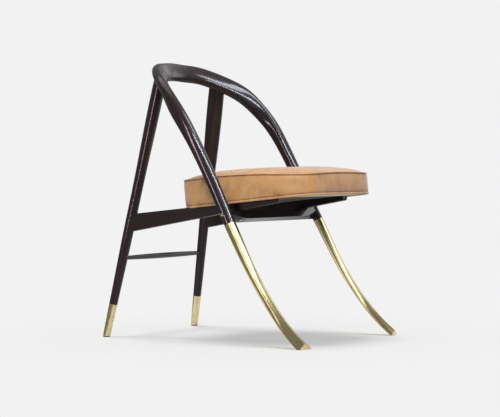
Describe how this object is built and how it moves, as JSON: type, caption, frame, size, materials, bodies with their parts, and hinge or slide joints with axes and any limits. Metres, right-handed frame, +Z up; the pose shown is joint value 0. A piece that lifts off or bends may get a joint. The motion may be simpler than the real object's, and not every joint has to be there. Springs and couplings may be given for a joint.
{
  "type": "hoop armchair",
  "caption": "Low-backed armchair: one bent dark wood hoop forms crest, arms and front uprights over metal sabre legs, with a boxed leather seat and straight rear legs.",
  "frame": {"origin": "on the floor under the middle of the chair's bounding box", "axes": "+Z up, -Y the way the sitter faces, +X the sitter's left; the chair mirrors across X = 0"},
  "size_m": [0.5228, 0.6498, 0.7424],
  "materials": {
    "dark_wood": "ebonised, satin lacquer",
    "dowel_wood": "plain beech",
    "leg_brass": "polished and lightly brushed",
    "steel": "zinc plated",
    "glide": "moulded",
    "tan_leather": "smooth aniline",
    "welt_leather": "folded over cord",
    "seat_plywood": "sanded plywood",
    "seat_foam": "open-cell foam",
    "dust_cover": "non-woven cloth"
  },
  "bodies": {
    "root": {"hoop": "dark_wood", "front_leg_left": "leg_brass", "front_leg_right": "leg_brass", "front_leg_studs": "steel", "rear_leg_left": "dark_wood", "rear_leg_right": "dark_wood", "leg_head_dowels": "dowel_wood", "ferrule_left": "leg_brass", "ferrule_right": "leg_brass", "ferrule_pins": "leg_brass", "glide_left": "glide", "glide_right": "glide", "side_rail_left": "dark_wood", "side_rail_right": "dark_wood", "rail_dowels": "dowel_wood", "front_cross_rail": "dark_wood", "cross_rail_bolts": "leg_brass", "cross_rail_sleeves": "steel", "cross_rail_screws": "steel", "rear_stretcher": "dark_wood", "seat_board": "seat_plywood", "seat_foam": "seat_foam", "seat_band": "tan_leather", "seat_top_panel": "tan_leather", "seat_welt_top": "welt_leather", "seat_welt_bottom": "welt_leather", "seat_dust_cover": "dust_cover", "seat_screws_front": "steel", "seat_screws_rear": "steel", "seat_tee_nuts": "steel"}
  },
  "joints": []
}
